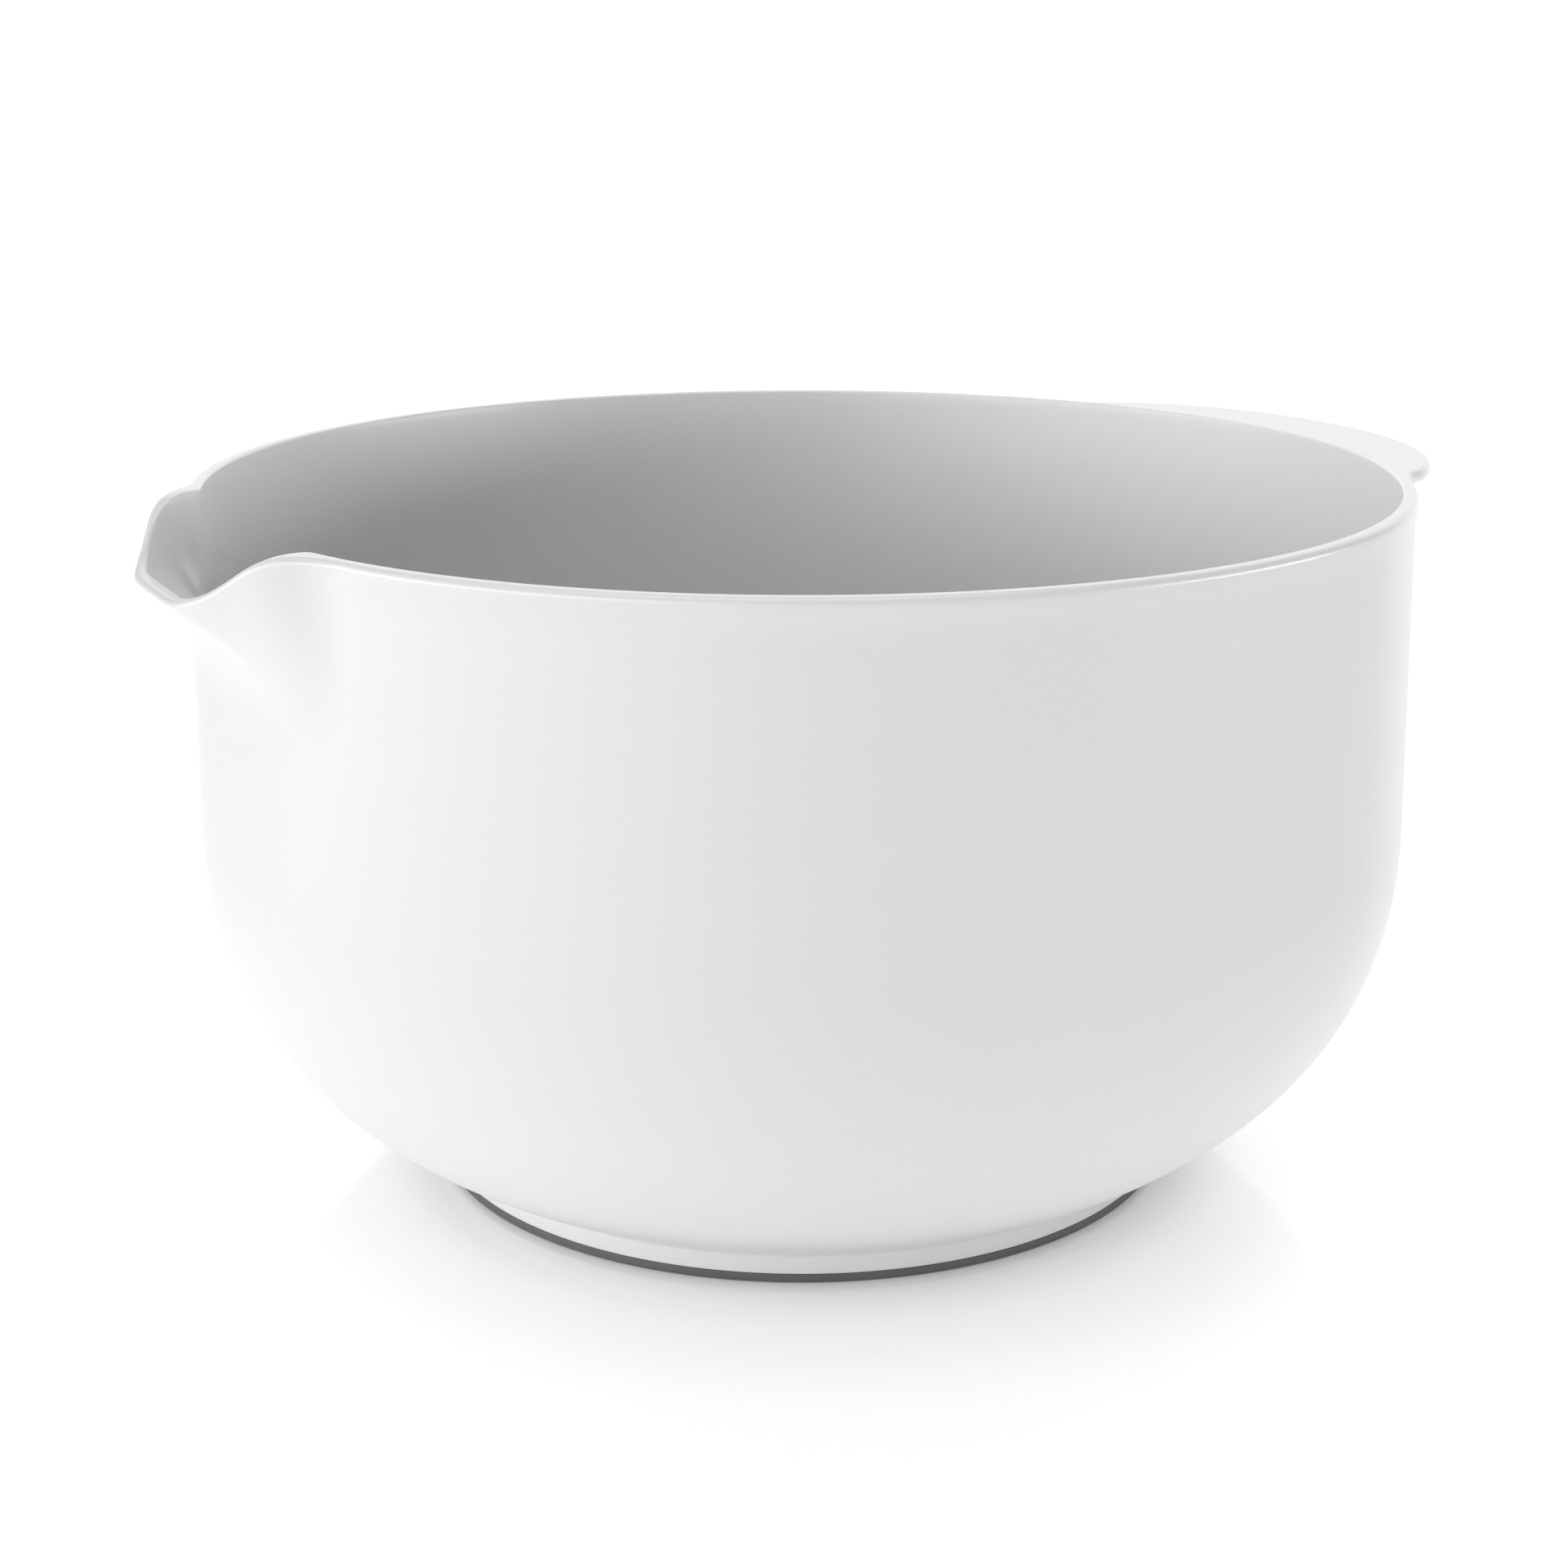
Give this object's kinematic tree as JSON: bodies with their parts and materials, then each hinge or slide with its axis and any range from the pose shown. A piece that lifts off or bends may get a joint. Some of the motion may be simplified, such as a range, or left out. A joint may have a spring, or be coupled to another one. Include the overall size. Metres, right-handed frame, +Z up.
{
  "type": "mixing bowl",
  "caption": "Deep round mixing bowl in smooth white moulding with a pouring spout, a crescent grip opposite it and a dark non-slip ring under the foot.",
  "frame": {"origin": "centre of the resting face, on the bowl's axis, in the plane of the table", "axes": "+Z up out of the mouth along the bowl's axis; the spout points along -X and the grip along +X"},
  "size_m": [0.2733, 0.245, 0.14],
  "materials": {
    "white_moulding": "smooth satin white melamine",
    "dark_rubber": "matt dark grey moulded rubber"
  },
  "bodies": {
    "root": {"bowl": "white_moulding", "non_slip_ring": "dark_rubber"}
  },
  "joints": []
}
